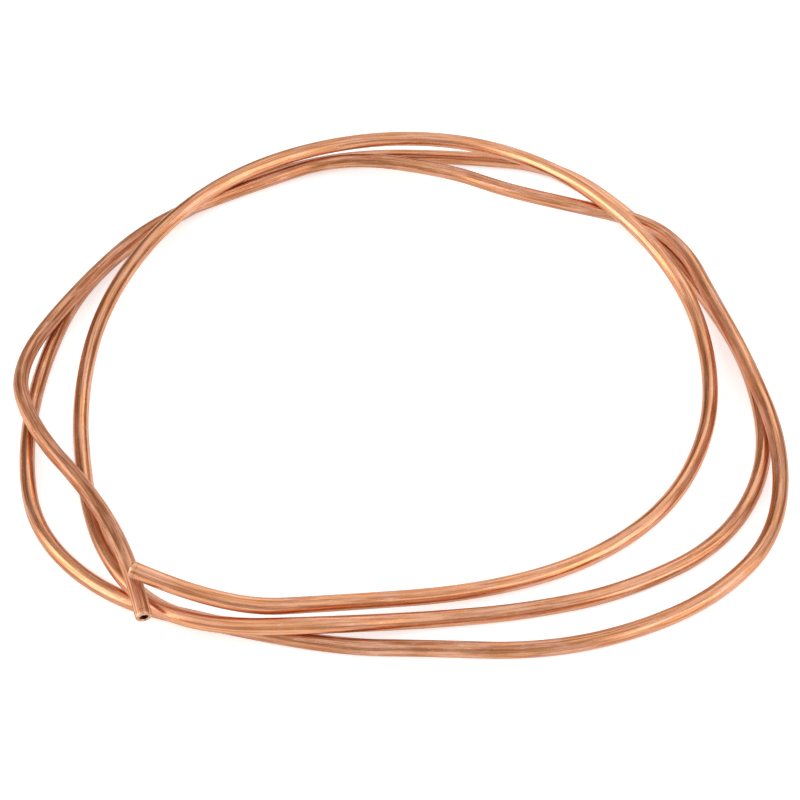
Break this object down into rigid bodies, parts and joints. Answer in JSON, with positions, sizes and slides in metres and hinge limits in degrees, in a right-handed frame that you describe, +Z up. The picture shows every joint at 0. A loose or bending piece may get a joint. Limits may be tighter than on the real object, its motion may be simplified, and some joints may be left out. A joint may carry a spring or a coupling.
{
  "type": "copper tube coil",
  "caption": "Loose coil of soft round copper tube, hand-bent into irregular turns that lie flat, with plain cut ends for compression, flare or soldered fittings.",
  "frame": {"origin": "on the ground, at the middle of the coil's plan as it lies flat", "axes": "+Z up, across the coil; +X along its longer way across; -Y towards the side where both cut ends are"},
  "size_m": [0.3085, 0.2919, 0.0294],
  "materials": {
    "copper": "bright drawn copper, slightly dulled by handling"
  },
  "bodies": {
    "root": {"copper_tube": "copper"}
  },
  "joints": []
}
